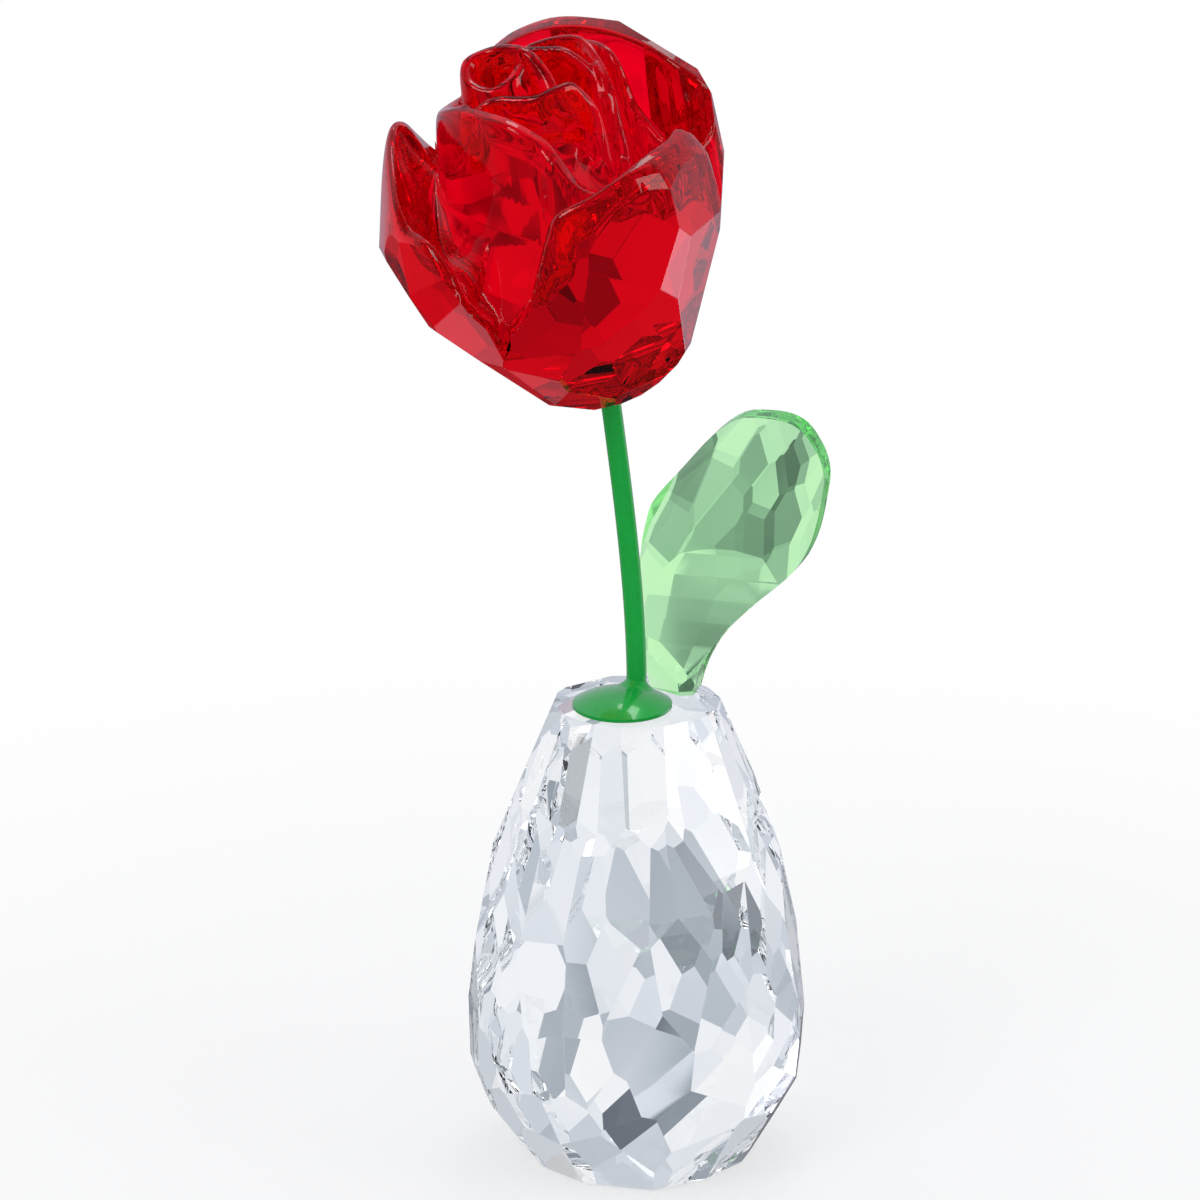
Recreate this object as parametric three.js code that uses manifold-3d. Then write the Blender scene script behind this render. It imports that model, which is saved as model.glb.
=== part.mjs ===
// Crystal rose figurine: a red crystal rose on a lacquered stem, and a pale green crystal leaf, both glued on
// the flat table of a clear faceted vase. Millimetres, +Z up, the origin at the centre of the vase's base.
import * as THREE from "three";
import { ConvexHull } from "three/addons/math/ConvexHull.js";
import { ConvexGeometry } from "three/addons/geometries/ConvexGeometry.js";
import { mergeVertices } from "three/addons/utils/BufferGeometryUtils.js";
import Module from "manifold-3d";

const wasm = await Module();
wasm.setup();

// Driving dimensions of the vase
const VASE_HEIGHT = 44;
const VASE_BASE_RADIUS = 9.5;
const VASE_BELLY_RADIUS = 15.3;
const VASE_BELLY_HEIGHT = 11.5;
const VASE_TABLE_RADIUS = 7.3;
// How the vase's profile bends: how far it runs along its tangents before it turns
const HEEL_OUT = 3;
const HEEL_UP = 3;
const BELLY_RUN_DOWN = 4.6;
const BELLY_RUN_UP = 12.35;
const SHOULDER_OUT = 3.9;
const SHOULDER_DOWN = 8.1;

// Driving dimensions of the stem, its foot and the glue films
const ROD_RADIUS = 0.92;
const ROD_FIT = 0.05;
const ROD_LEAN_LEFT = 7;
const ROD_LEAN_BACK = 1;
const ROD_X = 0;
const ROD_Y = 0.4;
const FOOT_RADIUS = 4.55;
const FOOT_RIM = 0.45;
const FOOT_DOME = 1.6;
const FOOT_SHOULDER = 3.2;
const FOOT_X = -1.33;
const FOOT_Y = -1.42;
const FLARE_HEIGHT = 2.3;
const FLARE_LIP = 0.15;
const FLARE_SPREAD = 0.9;
const FLARE_RISE = 1.2;
const BORE_FLOOR = 0.5;
const FILM = 0.1;
const FILM_INSET = 0.2;
const LEAF_BOND_HALF_WIDTH = 1.8;
const LEAF_BOND_HALF_DEPTH = 0.9;

// Driving dimensions of the rose
const ROSE_X = -8.06;
const ROSE_Y = -1.5;
const ROSE_ABOVE_TABLE = 46.9;
const ROSE_LEAN_LEFT = 12;
const ROSE_LEAN_NEAR = 10;
const ROSE_RADIUS = 15.9;
const ROSE_HALF_HEIGHT = 17.4;
const ROSE_TOP = 16.6;
const SOCKET_DEPTH = 2.4;
const SOCKET_GAP = 0.3;
const SOCKET_RIGHT = 1.9;
const SOCKET_BACK = -0.6;

// Driving dimensions of the leaf
const LEAF_X = 3.6;
const LEAF_Y = 3.1;
const LEAF_TURN = -15;
const LEAF_LEAN_BACK = 4;
const LEAF_HALF_THICKNESS = 2.5;
const LEAF_LENS_LENGTH = 19;
const LEAF_LENS_WIDTH = 8.6;
const LEAF_AXIS_TILT = 20;
const LEAF_MIDDLE = 14;
const SCOOP_RADIUS = 34;
const SCOOP_UP = 7;
const SCOOP_LEFT_THICK = 1.7;
const LEAF_BELOW_TABLE = 1;
const LENS_EDGE = 0.2;
const LEAF_OUTLINE_STEPS = 3;
const NECK_HALF_THICKNESS = 1.9;
const NECK_RIDGE = 0.9;
const NECK_SPREAD = 25;
const NECK_SWELL = 20;

const RAD = Math.PI / 180;
const UP = new THREE.Vector3(0, 0, 1);

// Solids: closed meshes are joined and cut as manifold solids, then turned back into geometry.
function toSolid(geometry) {
  const plain = geometry.clone();
  plain.deleteAttribute("normal");
  plain.deleteAttribute("uv");
  const merged = mergeVertices(plain, 1e-5);
  return new wasm.Manifold(
    new wasm.Mesh({
      numProp: 3,
      vertProperties: new Float32Array(merged.attributes.position.array),
      triVerts: new Uint32Array(merged.index.array),
    }),
  );
}

function toGeometry(solid) {
  const mesh = solid.getMesh();
  const geometry = new THREE.BufferGeometry();
  geometry.setAttribute("position", new THREE.BufferAttribute(mesh.vertProperties, 3));
  geometry.setIndex(new THREE.BufferAttribute(mesh.triVerts, 1));
  geometry.computeVertexNormals();
  return geometry;
}

// A convex cut stone. Each cut is a plane { normal, distance } measured from the inner point. The corners are
// found on the stone's dual: every face of the hull of normal / distance is a corner where three planes meet.
function cutStone(inner, cuts) {
  const dual = new ConvexHull().setFromPoints(
    cuts.map(({ normal, distance }) => normal.clone().divideScalar(distance)),
  );
  const corners = [];
  for (const { normal, constant } of dual.faces) {
    const corner = normal.clone().divideScalar(constant).add(inner);
    if (corners.every((c) => c.distanceTo(corner) > 1e-3)) corners.push(corner);
  }
  return new ConvexGeometry(corners);
}

// Vase: an egg-shaped profile, with flat facets tangent to it in rows. A row lists its facets as [turn in
// degrees, height as a share of the vase], and a third number cuts one deeper, in millimetres. Each row goes
// twice round, the second time half a turn on.
const vaseProfile = new THREE.CurvePath();
vaseProfile.add(
  new THREE.CubicBezierCurve(
    new THREE.Vector2(VASE_BASE_RADIUS, 0),
    new THREE.Vector2(VASE_BASE_RADIUS + HEEL_OUT, HEEL_UP),
    new THREE.Vector2(VASE_BELLY_RADIUS, VASE_BELLY_HEIGHT - BELLY_RUN_DOWN),
    new THREE.Vector2(VASE_BELLY_RADIUS, VASE_BELLY_HEIGHT),
  ),
);
vaseProfile.add(
  new THREE.CubicBezierCurve(
    new THREE.Vector2(VASE_BELLY_RADIUS, VASE_BELLY_HEIGHT),
    new THREE.Vector2(VASE_BELLY_RADIUS, VASE_BELLY_HEIGHT + BELLY_RUN_UP),
    new THREE.Vector2(VASE_TABLE_RADIUS + SHOULDER_OUT, VASE_HEIGHT - SHOULDER_DOWN),
    new THREE.Vector2(VASE_TABLE_RADIUS, VASE_HEIGHT),
  ),
);
const VASE_ROWS = {
  neck: [
    [-69, 0.9], [-42, 0.89, 0.3], [-17, 0.9, 0.4], [3, 0.96, 0.5], [36, 0.87, 0.7], [60, 0.9], [82, 0.88],
  ],
  shoulder: [[-75, 0.68], [-52, 0.71], [-36, 0.69, 0.2], [38, 0.6, 0.2], [70, 0.7]],
  spikes: [[-16, 0.64, 0.3], [-5, 0.66, 0.4], [15, 0.64, 0.4], [24, 0.66, 0.5], [-60, 0.58], [50, 0.57]],
  waist: [
    [-66, 0.46], [-35, 0.47, 0.1], [-16, 0.48, 0.2], [-8, 0.55, 0.4], [18, 0.54, 0.5], [62, 0.5], [83, 0.48],
  ],
  belly: [
    [-1, 0.46, 0.4], [28, 0.46, 0.3], [32, 0.37, 0.2], [48, 0.39], [-52, 0.37], [63, 0.33], [-80, 0.3],
  ],
  low_belly: [
    [-32, 0.3], [-46, 0.27], [-16, 0.32, 0.1], [8, 0.34, 0.3], [29, 0.28, 0.2], [-66, 0.24], [84, 0.24],
  ],
  heel: [[-8, 0.25, 0.1], [-41, 0.18], [-25, 0.2], [22, 0.2, 0.3], [54, 0.21], [-57, 0.15], [-82, 0.16]],
  foot_ring: [[1, 0.16], [-14, 0.09], [28, 0.1], [48, 0.1], [72, 0.12], [-44, 0.08], [-72, 0.07]],
};

const profilePoints = vaseProfile.getPoints(200);
function profileAt(height) {
  const points = profilePoints;
  let i = 1;
  while (i < points.length - 1 && points[i].y < height) i += 1;
  const [a, b] = [points[i - 1], points[i]];
  const slope = (b.x - a.x) / (b.y - a.y);
  return { radius: a.x + slope * (height - a.y), slope };
}

function makeVase() {
  const inner = new THREE.Vector3(0, 0, VASE_HEIGHT / 2);
  const cuts = [
    { normal: UP.clone(), distance: VASE_HEIGHT - inner.z },
    { normal: UP.clone().negate(), distance: inner.z },
  ];
  for (const row of Object.values(VASE_ROWS)) {
    for (const [turn, share, deeper = 0] of row) {
      const height = share * VASE_HEIGHT;
      const { radius, slope } = profileAt(height);
      for (const half of [0, 180]) {
        const angle = (turn - 90 + half) * RAD;
        const normal = new THREE.Vector3(Math.cos(angle), Math.sin(angle), -slope).normalize();
        const touch = new THREE.Vector3(radius * Math.cos(angle), radius * Math.sin(angle), height);
        cuts.push({ normal, distance: normal.dot(touch.sub(inner)) - deeper });
      }
    }
  }
  return cutStone(inner, cuts);
}

// Stem foot: a low domed disc that rises to a small flare round the rod, off its centre.
function lathe(points, sides) {
  const geometry = new THREE.LatheGeometry(points, sides);
  geometry.rotateX(Math.PI / 2);
  return geometry;
}

function makeFoot() {
  const dome = new THREE.Path();
  dome.moveTo(0, 0);
  dome.lineTo(FOOT_RADIUS, 0);
  dome.lineTo(FOOT_RADIUS, FOOT_RIM);
  dome.quadraticCurveTo(FOOT_SHOULDER, FOOT_DOME, 0, FOOT_DOME);
  const disc = lathe(dome.getPoints(6), 40).translate(FOOT_X, FOOT_Y, 0);
  const lip = ROD_RADIUS + ROD_FIT + FLARE_LIP;
  const flareSide = new THREE.Path();
  flareSide.moveTo(0, FOOT_RIM);
  flareSide.lineTo(lip + FLARE_SPREAD, FOOT_RIM);
  flareSide.quadraticCurveTo(lip, FLARE_HEIGHT - FLARE_RISE, lip, FLARE_HEIGHT);
  flareSide.lineTo(0, FLARE_HEIGHT);
  const flare = lathe(flareSide.getPoints(6), 32).translate(ROD_X, ROD_Y, 0);
  const bore = rodSection(ROD_RADIUS + ROD_FIT, FLARE_HEIGHT).translate(ROD_X, ROD_Y, BORE_FLOOR);
  return toGeometry(toSolid(disc).add(toSolid(flare)).subtract(toSolid(bore)));
}

// A round bar of many flats standing on its end, used for the bore so that it matches the rod's own flats.
const ROD_SIDES = 16;
function rodOutline(radius) {
  const shape = new THREE.Shape();
  for (let i = 0; i < ROD_SIDES; i += 1) {
    const angle = (2 * Math.PI * i) / ROD_SIDES;
    if (i === 0) shape.moveTo(radius, 0);
    else shape.lineTo(radius * Math.cos(angle), radius * Math.sin(angle));
  }
  return shape;
}

function rodSection(radius, length) {
  return new THREE.ExtrudeGeometry(rodOutline(radius), { depth: length, bevelEnabled: false, steps: 1 });
}

// Rose: its own frame has +x to the right, +y to the back and +z up the bloom, from the middle of the bloom.
const bloomUp = new THREE.Vector3(
  -Math.tan(ROSE_LEAN_LEFT * RAD),
  -Math.tan(ROSE_LEAN_NEAR * RAD),
  1,
).normalize();
const bloomRight = new THREE.Vector3(1, 0, 0).addScaledVector(bloomUp, -bloomUp.x).normalize();
const bloomBack = new THREE.Vector3().crossVectors(bloomUp, bloomRight);
const tableTop = VASE_HEIGHT + FILM;
const bloomFrame = new THREE.Matrix4()
  .makeBasis(bloomRight, bloomBack, bloomUp)
  .setPosition(ROSE_X, ROSE_Y, VASE_HEIGHT + ROSE_ABOVE_TABLE);

// The rod's line: upright in the foot, then a slow bend into the rose's socket.
const socketMouth = new THREE.Vector3(SOCKET_RIGHT, SOCKET_BACK, -ROSE_HALF_HEIGHT).applyMatrix4(bloomFrame);
const rodStart = new THREE.Vector3(ROD_X, ROD_Y, tableTop + BORE_FLOOR);
const rodAway = new THREE.Vector3(
  -Math.tan(ROD_LEAN_LEFT * RAD),
  Math.tan(ROD_LEAN_BACK * RAD),
  1,
).normalize();
const rodEnd = socketMouth.clone().addScaledVector(rodAway, SOCKET_DEPTH - SOCKET_GAP);
const rodReach = rodStart.distanceTo(rodEnd) / 3;
const rodLine = new THREE.CubicBezierCurve3(
  rodStart,
  rodStart.clone().addScaledVector(UP, rodReach),
  rodEnd.clone().addScaledVector(rodAway, -rodReach),
  rodEnd,
);

function makeRod() {
  return new THREE.ExtrudeGeometry(rodOutline(ROD_RADIUS), {
    steps: 28,
    bevelEnabled: false,
    extrudePath: rodLine,
  });
}

// Petals, pressed from above: each is a ridge that follows its rim, listed as [right, back, up]. The inner
// wall is left of the rim's run and the outer wall is right of it. A steep wall has a flat top, and a rolled
// one falls away in a round shoulder. Each has one width, or widths along the rim as [share of the run, width].
const steep = (...widths) => ({ power: 4, widths });
const rolled = (...widths) => ({ power: 2, widths });
const PETALS = {
  bud: {
    inner: steep(1),
    outer: steep(1.1),
    rim: [
      [0.4, 2.3, 13.6], [-0.6, 1.2, 13], [-2.4, 0.6, 12.6], [-4.3, 1.6, 13.4], [-4.3, 3.4, 14.4],
      [-2.5, 4.3, 14.7], [-0.6, 3.9, 14.9], [1.2, 2.8, 14.6], [2.4, 1.6, 13.2], [3, 0.2, 11.6],
    ],
  },
  front: {
    inner: steep(0.8),
    outer: steep(0.9),
    rim: [
      [-4.4, -0.9, 11.2], [-3.2, -1.2, 12.2], [-1.7, -1.1, 12.4], [0, -1.4, 12.2], [1.6, -1.8, 12.2],
      [3.4, -1.3, 12.4], [4.8, -0.5, 12.2], [5.8, -0.5, 10.8], [6.3, -1, 9.2], [6.1, -2, 7],
      [5.8, -2.6, 5.2],
    ],
  },
  behind_bud: {
    inner: steep(0.8),
    outer: steep(0.8),
    rim: [
      [-5.6, 4, 10.5], [-3.8, 6, 12.4], [-1.2, 6.2, 13.4], [1, 5.2, 13.7], [2.8, 4.9, 13.5], [4.4, 4.4, 13.3],
      [6.6, 2.8, 11.4], [6.9, 1.2, 9.8],
    ],
  },
  side: {
    inner: steep(0.7),
    outer: steep(0.9),
    rim: [
      [-1.5, 8.4, 11.4], [1.5, 8, 12.8], [5.6, 6.4, 13.3], [7.2, 3.6, 12], [7.9, 1.2, 9.8], [7.9, 0, 8.4],
      [8, -1, 6.5], [7.9, -1.9, 4.8],
    ],
  },
  back: {
    inner: steep(0.8),
    outer: steep(1),
    rim: [
      [1.5, 10, 10.6], [5.2, 8.6, 12], [7.9, 5.8, 12], [8.7, 4.5, 10.8], [9.3, 3.6, 7.6], [10.2, 2.6, 6],
      [11.3, 1.4, 4.4],
    ],
  },
  middle: {
    inner: steep(1.1),
    outer: steep(1.7),
    rim: [
      [-5, 8.4, 9], [-6.6, 5.4, 9.6], [-7, 2.4, 10.6], [-6.4, 0.2, 11.6], [-5.2, -1.3, 12.2],
      [-3.3, -3.1, 12.2], [-0.7, -5.4, 11.8], [1.6, -6.6, 10.2], [2.8, -7.9, 8.6], [4.4, -8.6, 6],
      [6.5, -8, 4.5], [8.5, -6, 3.4],
    ],
  },
  outer_left: {
    inner: rolled(2),
    outer: rolled(3),
    rim: [
      [-9.6, 10.5, 2.9], [-10.3, 9, 4.8], [-10.9, 7, 7.1], [-11.3, 5, 9], [-11.8, 3, 9.8], [-12.2, 0.5, 9],
      [-12.2, -3, 7.8], [-12, -6.2, 6.4], [-11.2, -8.4, 4.9], [-9.5, -10.7, 4.2], [-8.1, -12.4, 1.9],
      [-7, -12.8, -1.4], [-5.7, -13.1, -3.4], [-5.3, -13.2, -6],
    ],
  },
  outer_right: {
    inner: steep([0, 1.4], [1, 1]),
    outer: rolled([0, 2.5], [0.49, 2.5], [0.57, 4.4], [0.735, 4.4], [0.775, 1], [0.82, 0.8]),
    rim: [
      [-5.4, -13.4, -7.4], [-4.6, -12.7, -4.8], [-2.8, -13, -3], [-1.4, -13.5, -1.2], [-0.4, -14, 1.5],
      [0.9, -13.8, 4], [2.2, -13.3, 5.9], [5.3, -12.8, 6.7], [9, -10.9, 7.6], [12.6, -5.9, 7.3],
      [13.5, -2.6, 6.8], [13.8, -1.8, 5], [13.8, -1.6, 1], [13.5, -1.4, -5],
    ],
  },
  outer_back: {
    inner: steep([0, 0.9], [0.2, 1.2], [1, 2.3]),
    outer: steep([0, 0.7], [0.14, 0.7], [0.2, 6.5]),
    rim: [
      [13.2, 0.2, 4.4], [14.4, 0.9, 3.2], [15.4, 1.8, 3.6], [16.1, 3.2, 6], [15.7, 4, 8], [13.9, 4.6, 9.8],
      [11.3, 7.2, 11.2], [7.6, 10.4, 12], [2.9, 12.5, 12.2], [-2, 13.4, 10.8], [-5.6, 13.4, 8],
      [-8, 12.8, 3],
    ],
  },
};
const RIM_STEPS = 60;
const BLEND_POWER = 6;
const WELL = { deep: 9, slope: 0.45, bend: 0.045 };

for (const petal of Object.values(PETALS)) {
  const curve = new THREE.CatmullRomCurve3(petal.rim.map((p) => new THREE.Vector3(...p)));
  petal.line = curve.getSpacedPoints(RIM_STEPS);
}

// The nearest place on a petal's rim: how far it is, on which side, how high the rim stands there and what
// share of the rim has been run.
function nearestOnRim(line, x, y) {
  let best = { squared: Infinity, height: 0, side: 1, run: 0 };
  for (let i = 1; i < line.length; i += 1) {
    const [a, b] = [line[i - 1], line[i]];
    const [dx, dy] = [b.x - a.x, b.y - a.y];
    const along = ((x - a.x) * dx + (y - a.y) * dy) / (dx * dx + dy * dy);
    const share = Math.min(1, Math.max(0, along));
    const [ex, ey] = [x - a.x - share * dx, y - a.y - share * dy];
    const squared = ex * ex + ey * ey;
    if (squared < best.squared) {
      const height = a.z + share * (b.z - a.z);
      const side = Math.sign(dx * ey - dy * ex) || 1;
      best = { squared, height, side, run: (i - 1 + share) / (line.length - 1) };
    }
  }
  return best;
}

function wallWidth(widths, run) {
  if (widths.length === 1) return widths[0];
  let i = 1;
  while (i < widths.length - 1 && widths[i][0] < run) i += 1;
  const [[fromRun, from], [toRun, to]] = [widths[i - 1], widths[i]];
  const share = Math.min(1, Math.max(0, (run - fromRun) / (toRun - fromRun)));
  return from + share * (to - from);
}

// The pressed surface: a well that deepens outwards, and the petals' ridges blended over it.
function petalSurface(x, y) {
  const radius = Math.hypot(x, y);
  const well = WELL.deep - WELL.slope * radius - WELL.bend * radius * radius;
  let sum = 0;
  for (const { line, inner, outer } of Object.values(PETALS)) {
    const { squared, height, side, run } = nearestOnRim(line, x, y);
    const wall = side > 0 ? inner : outer;
    const width = wallWidth(wall.widths, run);
    const rise = Math.max(0, height - well) / (1 + (squared / (width * width)) ** (wall.power / 2));
    sum += rise ** BLEND_POWER;
  }
  return well + sum ** (1 / BLEND_POWER);
}

// The pressed block: a round slug with the petal surface on top, on rings and spokes.
const SLUG_RADIUS = 18;
const SLUG_FLOOR = -22;
const SLUG_RINGS = 50;
const SLUG_SPOKES = 104;
function pressedSlug() {
  const positions = [0, 0, petalSurface(0, 0)];
  for (let ring = 1; ring <= SLUG_RINGS; ring += 1) {
    const radius = (SLUG_RADIUS * ring) / SLUG_RINGS;
    for (let spoke = 0; spoke < SLUG_SPOKES; spoke += 1) {
      const angle = (2 * Math.PI * spoke) / SLUG_SPOKES;
      const [x, y] = [radius * Math.cos(angle), radius * Math.sin(angle)];
      positions.push(x, y, petalSurface(x, y));
    }
  }
  const lowest = positions.length / 3;
  for (let spoke = 0; spoke < SLUG_SPOKES; spoke += 1) {
    const angle = (2 * Math.PI * spoke) / SLUG_SPOKES;
    positions.push(SLUG_RADIUS * Math.cos(angle), SLUG_RADIUS * Math.sin(angle), SLUG_FLOOR);
  }
  positions.push(0, 0, SLUG_FLOOR);
  const faces = [];
  const at = (ring, spoke) => 1 + (ring - 1) * SLUG_SPOKES + (spoke % SLUG_SPOKES);
  for (let spoke = 0; spoke < SLUG_SPOKES; spoke += 1) {
    faces.push(0, at(1, spoke), at(1, spoke + 1));
    for (let ring = 1; ring < SLUG_RINGS; ring += 1) {
      faces.push(at(ring, spoke), at(ring + 1, spoke), at(ring + 1, spoke + 1));
      faces.push(at(ring, spoke), at(ring + 1, spoke + 1), at(ring, spoke + 1));
    }
    const [low, nextLow] = [lowest + spoke, lowest + ((spoke + 1) % SLUG_SPOKES)];
    faces.push(at(SLUG_RINGS, spoke), low, nextLow);
    faces.push(at(SLUG_RINGS, spoke), nextLow, at(SLUG_RINGS, spoke + 1));
    faces.push(lowest + SLUG_SPOKES, nextLow, low);
  }
  const geometry = new THREE.BufferGeometry();
  geometry.setAttribute("position", new THREE.Float32BufferAttribute(positions, 3));
  geometry.setIndex(faces);
  return geometry;
}

// The rose's outside facets: [turn, tilt] in degrees, tangent to a long round body, or cut deeper than it by
// a third number in millimetres. A number below zero leaves the stone fuller there.
const ROSE_ROWS = {
  front_top: [[-86, 13, 0.4], [-60, -4, 1.3], [-26, -2, 0.7]],
  front: [[-83, -2, 0.9], [-64, -9, 1.3], [-40, -15, 1.1], [-28, -18, 1.3], [-94, -10, 1.2]],
  front_low: [[-78, -14, 0.8], [-50, -24, 1.2], [-57, -28, 1.2], [-79, -33, 0.8], [-95, -25, 0.7]],
  left: [
    [-166, 38, 1.2], [-172, 28, 0.9], [-169, 1, 0.8], [-151, 14, 0.5], [-152, 6, 0.7], [-139, 8, 0.7],
    [-132, -5, 0.6], [-125, -14, 0.7], [-148, -16, 0.7],
  ],
  rim: [
    [28, 41, -1.2], [12, 16, -1.9], [-8, 2, 0.1], [38, 6, -0.6], [62, 10], [86, 6], [110, 9], [134, 6],
    [157, 9],
  ],
  back_side: [[-3, -14, 0.6], [26, -4], [48, -9], [72, -5], [96, -10], [119, -6], [142, -9], [166, -5]],
  low_back: [
    [-8, -24, 0.9], [-19, -39, -0.5], [16, -26, 0.4], [38, -22], [60, -27], [84, -22], [108, -28], [132, -22],
    [155, -27, 0.6], [176, -24, 1.2], [-165, -18, 1.8],
  ],
  under: [
    [-104, -36, 0.5], [-91, -43, 0.2], [-60, -45, -0.3], [-130, -38, 1], [-152, -38, 2.3], [178, -44, 1.8],
    [150, -46, 0.8],
  ],
  under_back: [[-31, -49, -1], [0, -46, -0.4], [36, -44], [66, -48], [96, -44], [124, -50]],
  sole: [
    [-121, -57, -0.1], [-84, -63, -1], [-62, -61, -1.2], [-10, -64, -0.8], [50, -68], [110, -64], [170, -66],
    [0, -90],
  ],
};

function makeRose() {
  const cuts = [{ normal: UP.clone(), distance: ROSE_TOP }];
  for (const row of Object.values(ROSE_ROWS)) {
    for (const [turn, tilt, deeper = 0] of row) {
      const level = Math.cos(tilt * RAD);
      const rise = Math.sin(tilt * RAD);
      const normal = new THREE.Vector3(level * Math.cos(turn * RAD), level * Math.sin(turn * RAD), rise);
      const tangent = Math.hypot(ROSE_RADIUS * level, ROSE_HALF_HEIGHT * rise);
      cuts.push({ normal, distance: tangent - deeper });
    }
  }
  const stone = toSolid(cutStone(new THREE.Vector3(), cuts));
  const rose = toGeometry(stone.intersect(toSolid(pressedSlug()))).applyMatrix4(bloomFrame);
  const socketAxis = new THREE.Quaternion().setFromUnitVectors(UP, rodAway);
  const socketStart = rodEnd.clone().addScaledVector(rodAway, SOCKET_GAP - 2 * SOCKET_DEPTH);
  const socket = rodSection(ROD_RADIUS + SOCKET_GAP, 2 * SOCKET_DEPTH)
    .applyQuaternion(socketAxis)
    .translate(...socketStart.toArray());
  return toGeometry(toSolid(rose).subtract(toSolid(socket)));
}

// Leaf: its own frame has +x along its width, +y up its length and +z out of its front, from its foot.
const LEAF_OUTLINE = [
  [-2.3, 0], [-2.8, 3.4], [-3.2, 8], [-3.3, 13], [-2.9, 16], [-2.2, 18], [0.5, 21.3], [3.3, 24.6],
  [5.6, 26.3], [8, 26.6], [10.1, 26.4], [11.6, 25.6], [12.7, 24.2], [13.4, 22.8], [13.7, 21.2], [13.5, 19.4],
  [13.1, 17], [12.4, 14.7], [11, 12.3], [7.7, 9.2], [5.3, 6.7], [3.7, 4.6], [2.6, 2.4], [2, 0],
];
const LEAF_CUTS = [
  [5.4, 24.2], [9, 24.6], [7.4, 22.8], [12, 24.4], [10.4, 26], [12.3, 21.4], [10.4, 22], [8.6, 20.2],
  [3.4, 20], [1.4, 19.8], [4.3, 16.8], [6.8, 14.8], [10, 17.6], [-0.4, 15.6],
  [-3, 15], [-1.4, 18.6], [2, 22.6], [4.6, 25.8], [7.6, 26.9], [13.4, 18.6], [12, 14.6], [9, 11.4],
  [2, 10.6], [-2.6, 9.6], [5.4, 9],
];

const leafTurn = LEAF_TURN * RAD;
const leafWidth = new THREE.Vector3(Math.cos(leafTurn), Math.sin(leafTurn), 0);
const leafFront = new THREE.Vector3(Math.sin(leafTurn), -Math.cos(leafTurn), 0)
  .multiplyScalar(Math.cos(LEAF_LEAN_BACK * RAD))
  .addScaledVector(UP, Math.sin(LEAF_LEAN_BACK * RAD));
const leafLength = new THREE.Vector3().crossVectors(leafFront, leafWidth);
const leafFrame = new THREE.Matrix4()
  .makeBasis(leafWidth, leafLength, leafFront)
  .setPosition(LEAF_X, LEAF_Y, tableTop);

function makeLeaf() {
  const [first, ...rest] = LEAF_OUTLINE.map(([x, y]) => new THREE.Vector2(x, y));
  const outline = new THREE.Shape();
  outline.moveTo(first.x, first.y - LEAF_BELOW_TABLE);
  outline.lineTo(first.x, first.y);
  outline.splineThru(rest);
  outline.lineTo(rest.at(-1).x, rest.at(-1).y - LEAF_BELOW_TABLE);
  const slab = new THREE.ExtrudeGeometry(outline, {
    depth: 2 * LEAF_HALF_THICKNESS,
    bevelEnabled: false,
    curveSegments: LEAF_OUTLINE_STEPS,
  }).translate(0, 0, -LEAF_HALF_THICKNESS);
  const along = new THREE.Vector2(Math.sin(LEAF_AXIS_TILT * RAD), Math.cos(LEAF_AXIS_TILT * RAD));
  const middle = along.clone().multiplyScalar(LEAF_MIDDLE);
  const inner = new THREE.Vector3(middle.x, middle.y, 0);
  const cuts = [];
  for (const [x, y] of LEAF_CUTS) {
    const offset = new THREE.Vector2(x, y).sub(middle);
    const lengthways = offset.dot(along) / LEAF_LENS_LENGTH;
    const across = offset.cross(along) / LEAF_LENS_WIDTH;
    const lift = Math.sqrt(Math.max(LENS_EDGE ** 2, 1 - lengthways ** 2 - across ** 2));
    const flat = along
      .clone()
      .multiplyScalar(lengthways / LEAF_LENS_LENGTH)
      .add(new THREE.Vector2(along.y, -along.x).multiplyScalar(across / LEAF_LENS_WIDTH));
    for (const face of [1, -1]) {
      const normal = new THREE.Vector3(flat.x, flat.y, (face * lift) / LEAF_HALF_THICKNESS).normalize();
      const touch = new THREE.Vector3(offset.x, offset.y, face * lift * LEAF_HALF_THICKNESS);
      cuts.push({ normal, distance: normal.dot(touch) });
    }
  }
  for (const [x, y] of [[1, 0], [-1, 0], [0, 1], [0, -1]]) {
    cuts.push({ normal: new THREE.Vector3(x, y, 0), distance: 2 * LEAF_LENS_LENGTH });
  }
  // The neck is pressed to a ridge down its front and back, which fades out where it swells into the blade.
  for (const side of [1, -1]) {
    for (const face of [1, -1]) {
      const normal = new THREE.Vector3(
        side * Math.sin(NECK_SPREAD * RAD),
        -Math.sin(NECK_SWELL * RAD),
        face * Math.cos(NECK_SPREAD * RAD),
      ).normalize();
      const ridge = new THREE.Vector3(NECK_RIDGE, 0, face * NECK_HALF_THICKNESS);
      cuts.push({ normal, distance: normal.dot(ridge.sub(inner)) });
    }
  }
  const lens = cutStone(inner, cuts);
  const scoop = new THREE.CylinderGeometry(SCOOP_RADIUS, SCOOP_RADIUS, 4 * LEAF_LENS_WIDTH, 96)
    .rotateZ(Math.PI / 2)
    .translate(0, SCOOP_UP, SCOOP_RADIUS + SCOOP_LEFT_THICK);
  const blade = toSolid(slab).intersect(toSolid(lens)).subtract(toSolid(scoop));
  const placed = toGeometry(blade).applyMatrix4(leafFrame);
  const room = 4 * LEAF_LENS_LENGTH;
  const aboveTable = new THREE.BoxGeometry(room, room, room).translate(0, 0, tableTop + room / 2);
  return toGeometry(toSolid(placed).intersect(toSolid(aboveTable)));
}

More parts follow.
